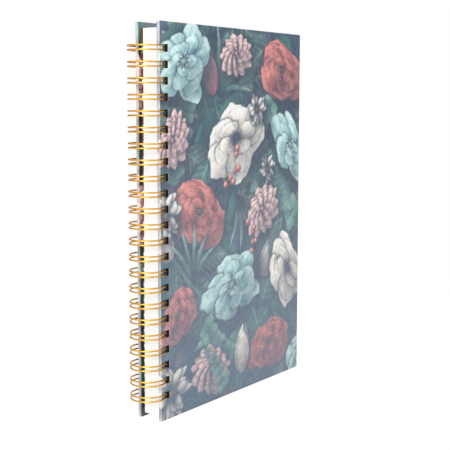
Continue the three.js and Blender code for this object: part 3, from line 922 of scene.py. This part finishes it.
class Nodes:
    """A short way to write the nodes and links of a material or a world."""

    def __init__(self, name, kind="materials"):
        self.owner = getattr(bpy.data, kind).new(name)
        self.owner.use_nodes = True
        self.tree = self.owner.node_tree

    @cached_property
    def place(self):
        return self.add("ShaderNodeTexCoord").outputs["Object"]

    def fill(self, node, values):
        """Gives a node's sockets their values or links."""
        for key, value in values.items():
            if isinstance(value, bpy.types.NodeSocket):
                self.tree.links.new(value, node.inputs[key])
            else:
                node.inputs[key].default_value = value

    def add(self, kind, values=None, **settings):
        node = self.tree.nodes.new(kind)
        for key, value in settings.items():
            setattr(node, key, value)
        self.fill(node, values or {})
        return node

    def finish(self, values, shader="Principled BSDF"):
        self.fill(self.tree.nodes[shader], values)
        return self.owner

    def math(self, operation, a, b=0.0):
        return self.add("ShaderNodeMath", {0: a, 1: b}, operation=operation).outputs[0]

    def noise(self, scale, detail=3.0, roughness=0.5, stretch=None):
        place = self.place
        if stretch:
            place = self.add("ShaderNodeMapping", {"Vector": place, "Scale": stretch}).outputs["Vector"]
        values = {"Vector": place, "Scale": scale, "Detail": detail, "Roughness": roughness}
        return self.add("ShaderNodeTexNoise", values).outputs["Fac"]

    def span(self, value, low, high, to_low, to_high):
        values = {"Value": value, "From Min": low, "From Max": high, "To Min": to_low, "To Max": to_high}
        return self.add("ShaderNodeMapRange", values).outputs["Result"]

    def patches(self, low, high, *noise):
        """A noise between two values."""
        return self.span(self.noise(*noise), 0.3, 0.7, low, high)

    def blend(self, amount, a, b, mode="MIX"):
        values = {"Factor": amount, "A": a, "B": b}
        return self.add("ShaderNodeMix", values, data_type="RGBA", blend_type=mode).outputs["Result"]

    def bump(self, height, strength, distance):
        values = {"Height": height, "Strength": strength, "Distance": distance}
        return self.add("ShaderNodeBump", values).outputs["Normal"]

    def split(self):
        return self.add("ShaderNodeSeparateXYZ", {"Vector": self.place}).outputs

    def between(self, value, low, high):
        above, below = self.math("GREATER_THAN", value, low), self.math("LESS_THAN", value, high)
        return self.math("MULTIPLY", above, below)

    def seen(self):
        """1 to the camera and to gloss, and 0 to the light that falls on other things."""
        path = self.add("ShaderNodeLightPath").outputs
        return self.math("MAXIMUM", path["Is Camera Ray"], path["Is Glossy Ray"])


def printed_material():
    """The floral print under a satin film: painted colour, a fine grain of ink and a faint ripple."""
    n = Nodes("printed_paper")
    painted = n.add("ShaderNodeAttribute", attribute_name="print").outputs["Color"]
    mottle = n.math("MULTIPLY", n.patches(0.90, 1.08, 900, 4, 0.6), n.patches(0.88, 1.12, 230, 5, 0.65))
    grey = n.add("ShaderNodeCombineColor", {0: mottle, 1: mottle, 2: mottle}).outputs["Color"]
    return n.finish({
        "Base Color": n.blend(1.0, painted, grey, "MULTIPLY"),
        "Roughness": n.patches(0.40, 0.50, 120),
        "Coat Weight": 0.35,
        "Coat Roughness": 0.22,
        "Normal": n.bump(n.noise(700), 0.10, 0.0002),
    })


def cut_board_material():
    """Near-black board, with the thin layers that its cut edge shows."""
    n = Nodes("cut_board")
    board = np.array(colours().board)
    layers = n.noise(260, 4, 0.6, (0.3, 9.0, 0.3))
    return n.finish({
        "Base Color": n.blend(n.span(layers, 0.35, 0.65, 0, 1), rgba(board * 0.8), rgba(board)),
        "Roughness": 0.9,
        "Normal": n.bump(layers, 0.3, 0.0002),
    })


def paper_rim_material():
    """The pale cut edge of the printed paper round each hole."""
    n = Nodes("paper_rim")
    paper = np.array(colours().paper)
    shade = n.blend(n.patches(0, 1, 1800), rgba(paper * 0.75), rgba(paper * 0.92))
    return n.finish({"Base Color": shade, "Roughness": 0.8})


def endpaper_material():
    """Brown paper with fine fibres, raised a little where it lies over the turn-ins."""
    n = Nodes("brown_paper")
    base = np.array(colours().endpaper)
    fibres = n.noise(1500, 4, 0.7, (1.0, 1.0, 0.25))
    tone = n.blend(n.patches(0, 1, 70), rgba(base * 0.96), rgba(base * 1.03))
    flecks = n.span(fibres, 0.52, 0.75, 0, 0.35)

    def past_panel(place, low, size):
        reach = n.math("ABSOLUTE", n.math("SUBTRACT", place, (low + size / 2) * MM))
        return n.math("SUBTRACT", reach, (size / 2 - sizes().turn_in) * MM)

    x, _, z = n.split()
    past = n.math("MAXIMUM", past_panel(x, SPINE_X, COVER_WIDTH), past_panel(z, 0, COVER_HEIGHT))
    ridge = n.span(past, -0.0006, 0.0006, 0, 1)
    return n.finish({
        "Base Color": n.blend(flecks, tone, rgba(base * 1.25)),
        "Roughness": 0.82,
        "Normal": n.bump(n.math("ADD", ridge, n.math("MULTIPLY", fibres, 0.15)), 0.6, 0.0002),
    })


def leaf_material():
    """White ruled paper: pale lines on each leaf between its margins, and a fine tooth."""
    n = Nodes("white_paper")
    x, _, z = n.split()
    steps = n.math("DIVIDE", n.math("SUBTRACT", z, leaf_low[2] * MM), sizes().ruling * MM)
    line = n.math("ABSOLUTE", n.math("SUBTRACT", n.math("FRACT", steps), 0.5))
    inside_x = n.between(x, (leaf_low[0] + SPINE_MARGIN) * MM, (leaf_high[0] - FORE_MARGIN) * MM)
    inside_z = n.between(z, (leaf_low[2] + TAIL_MARGIN) * MM, (leaf_high[2] - HEAD_MARGIN) * MM)
    inside = n.math("MULTIPLY", inside_x, inside_z)
    shown = n.math("MULTIPLY", n.math("LESS_THAN", line, HALF_LINE), inside)
    paper = np.array(colours().paper)
    base = n.blend(n.patches(0, 1, 400, 4), rgba(paper * 0.985), rgba(paper))
    return n.finish({
        "Base Color": n.blend(shown, base, rgba(colours().ruling)),
        "Roughness": 0.85,
        "Normal": n.bump(n.noise(2500), 0.12, 0.0001),
    })


def gold_material():
    """Bright gold on drawn wire: metal with faint uneven polish, which stays gold where it turns away."""
    n = Nodes("gold_wire")
    gold = np.array(colours().gold)
    return n.finish({
        "Base Color": n.blend(n.patches(0, 1, 350), rgba(gold * 0.94), rgba(gold)),
        "Metallic": 1.0,
        "Roughness": n.patches(0.16, 0.27, 900, 2),
        "Specular Tint": rgba(gold * 0.88),
        "Coat Weight": 0.9,
        "Coat Roughness": 0.2,
    })


# The stage

def place_camera():
    """The camera at its place from the front cover's spine-edge tail corner. Its heading is turned
    from +X towards +Y by the yaw and dips by the tilt."""
    data = bpy.data.cameras.new("camera")
    data.sensor_width = SENSOR
    data.lens = FOCAL_PIXELS / PHOTO_PIXELS * SENSOR
    camera = bpy.data.objects.new("camera", data)
    turns = ((CAMERA_YAW - 90, "Z"), (90 - CAMERA_TILT, "X"), (CAMERA_ROLL, "Z"))
    yaw, tilt, roll = (Matrix.Rotation(math.radians(degrees), 4, axis) for degrees, axis in turns)
    place = (Vector((SPINE_X, -OUTER_HALF, 0)) + Vector(CAMERA_FROM_CORNER)) * MM
    camera.matrix_world = Matrix.Translation(place) @ yaw @ tilt @ roll
    bpy.context.scene.collection.objects.link(camera)
    bpy.context.scene.camera = camera


def area_lamp(name, place, size, power):
    """A square lamp that looks at the journal."""
    data = bpy.data.lights.new(name, "AREA")
    data.energy = power
    data.size = size
    lamp = bpy.data.objects.new(name, data)
    lamp.location = place
    lamp.rotation_euler = (Vector(LAMPS_AIM) - Vector(place)).to_track_quat("-Z", "Y").to_euler()
    bpy.context.scene.collection.objects.link(lamp)


def dark_card(name, heading, distance, span, height):
    """A dark card beside the set that only the wire's gloss shows, where it gives the dark streaks.
    It stands square to its heading from the object and spans from one side distance to the other."""
    dark = Nodes(name).finish({"Base Color": (0.02, 0.02, 0.02, 1), "Roughness": 1.0})
    ca, sa = math.cos(math.radians(heading)), math.sin(math.radians(heading))
    places = ((span[0], 0), (span[1], 0), (span[1], height), (span[0], height))
    corners = [(ca * distance - sa * aside, sa * distance + ca * aside, z) for aside, z in places]
    card = mesh_object(name, np.array(corners) / MM, [(0, 1, 2, 3)], [dark])
    card.visible_camera = card.visible_diffuse = card.visible_shadow = False


def floor_material():
    """A white floor: lit paper white, with its brightness made up to white where it is seen."""
    n = Nodes("floor")
    n.tree.nodes.remove(n.tree.nodes["Principled BSDF"])
    white = n.add("ShaderNodeBsdfDiffuse", {"Color": (FLOOR_WHITE, FLOOR_WHITE, FLOOR_WHITE, 1)})
    glow = n.add("ShaderNodeEmission", {"Strength": FLOOR_GLOW})
    share = n.math("MULTIPLY", n.seen(), GLOW_SHARE)
    mixed = n.add("ShaderNodeMixShader", {0: share, 1: white.outputs[0], 2: glow.outputs[0]})
    return n.finish({"Surface": mixed.outputs[0]}, "Material Output")


def white_world():
    """White where the camera or the gloss sees it, and a dimmer light on the object."""
    n = Nodes("studio", "worlds")
    strength = n.span(n.seen(), 0, 1, WORLD_LIGHT, 1)
    bpy.context.scene.world = n.finish({"Color": (1, 1, 1, 1), "Strength": strength}, "Background")


# Operators

class JOURNAL_OT_stage(bpy.types.Operator):
    """Make the camera, the white floor and the soft lights"""

    bl_idname = "journal.stage"
    bl_label = "Stage"

    def execute(self, context):
        place_camera()
        corners = np.array([(-1, -1, 0), (1, -1, 0), (1, 1, 0), (-1, 1, 0)]) * FLOOR_HALF / MM
        floor = mesh_object("floor", corners, [(0, 1, 2, 3)], [floor_material()])
        floor.location.z = FLOOR_Z
        white_world()
        for name, lamp in LAMPS.items():
            area_lamp(name, *lamp)
        for name, card in CARDS.items():
            dark_card(name, *card)
        context.scene.view_settings.view_transform = "Standard"
        return {"FINISHED"}


class JOURNAL_OT_covers(bpy.types.Operator):
    """Make both printed covers and finish the endpapers inside them"""

    bl_idname = "journal.covers"
    bl_label = "Covers"

    def execute(self, context):
        materials = [printed_material(), cut_board_material(), paper_rim_material()]
        brown = endpaper_material()
        for side in SIDES:
            case = build_case(side, materials)
            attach(case, f"{side}_cover")
            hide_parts(f"{side}_cover_wrap", f"{side}_board")
            endpaper = frame["nodes"][f"{side}_endpaper"].data
            endpaper.materials.clear()
            endpaper.materials.append(brown)
        return {"FINISHED"}


class JOURNAL_OT_leaves(bpy.types.Operator):
    """Make every leaf of every block"""

    bl_idname = "journal.leaves"
    bl_label = "Leaves"

    def execute(self, context):
        paper = leaf_material()
        for node in BLOCKS:
            sheets = build_leaves(node, paper)
            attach(sheets, node.replace("leaf_block", "leaves"))
            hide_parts(node)
        return {"FINISHED"}


class JOURNAL_OT_wire(bpy.types.Operator):
    """Make the gold double-loop wire"""

    bl_idname = "journal.wire"
    bl_label = "Wire"

    def execute(self, context):
        wire = build_wire(gold_material())
        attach(wire, "binding")
        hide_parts("wire_binding")
        return {"FINISHED"}


class JOURNAL_PT_panel(bpy.types.Panel):
    """Lists the journal's pieces, sizes and colours"""

    bl_idname = "JOURNAL_PT_panel"
    bl_label = "Journal"
    bl_space_type = "VIEW_3D"
    bl_region_type = "UI"
    bl_category = "Journal"

    def draw(self, context):
        for operator in OPERATORS:
            self.layout.operator(operator.bl_idname)
        for group in (context.scene.journal_sizes, context.scene.journal_colours):
            for key in group.__annotations__:
                self.layout.prop(group, key)


OPERATORS = (JOURNAL_OT_stage, JOURNAL_OT_covers, JOURNAL_OT_leaves, JOURNAL_OT_wire)
CLASSES = (JournalSizes, JournalColours, *OPERATORS, JOURNAL_PT_panel)


def register():
    for cls in CLASSES:
        bpy.utils.register_class(cls)
    bpy.types.Scene.journal_sizes = bpy.props.PointerProperty(type=JournalSizes)
    bpy.types.Scene.journal_colours = bpy.props.PointerProperty(type=JournalColours)


def unregister():
    del bpy.types.Scene.journal_sizes
    del bpy.types.Scene.journal_colours
    for cls in reversed(CLASSES):
        bpy.utils.unregister_class(cls)


def main():
    register()
    bpy.ops.journal.stage()
    bpy.ops.journal.covers()
    bpy.ops.journal.leaves()
    bpy.ops.journal.wire()


if __name__ == "__main__":
    main()
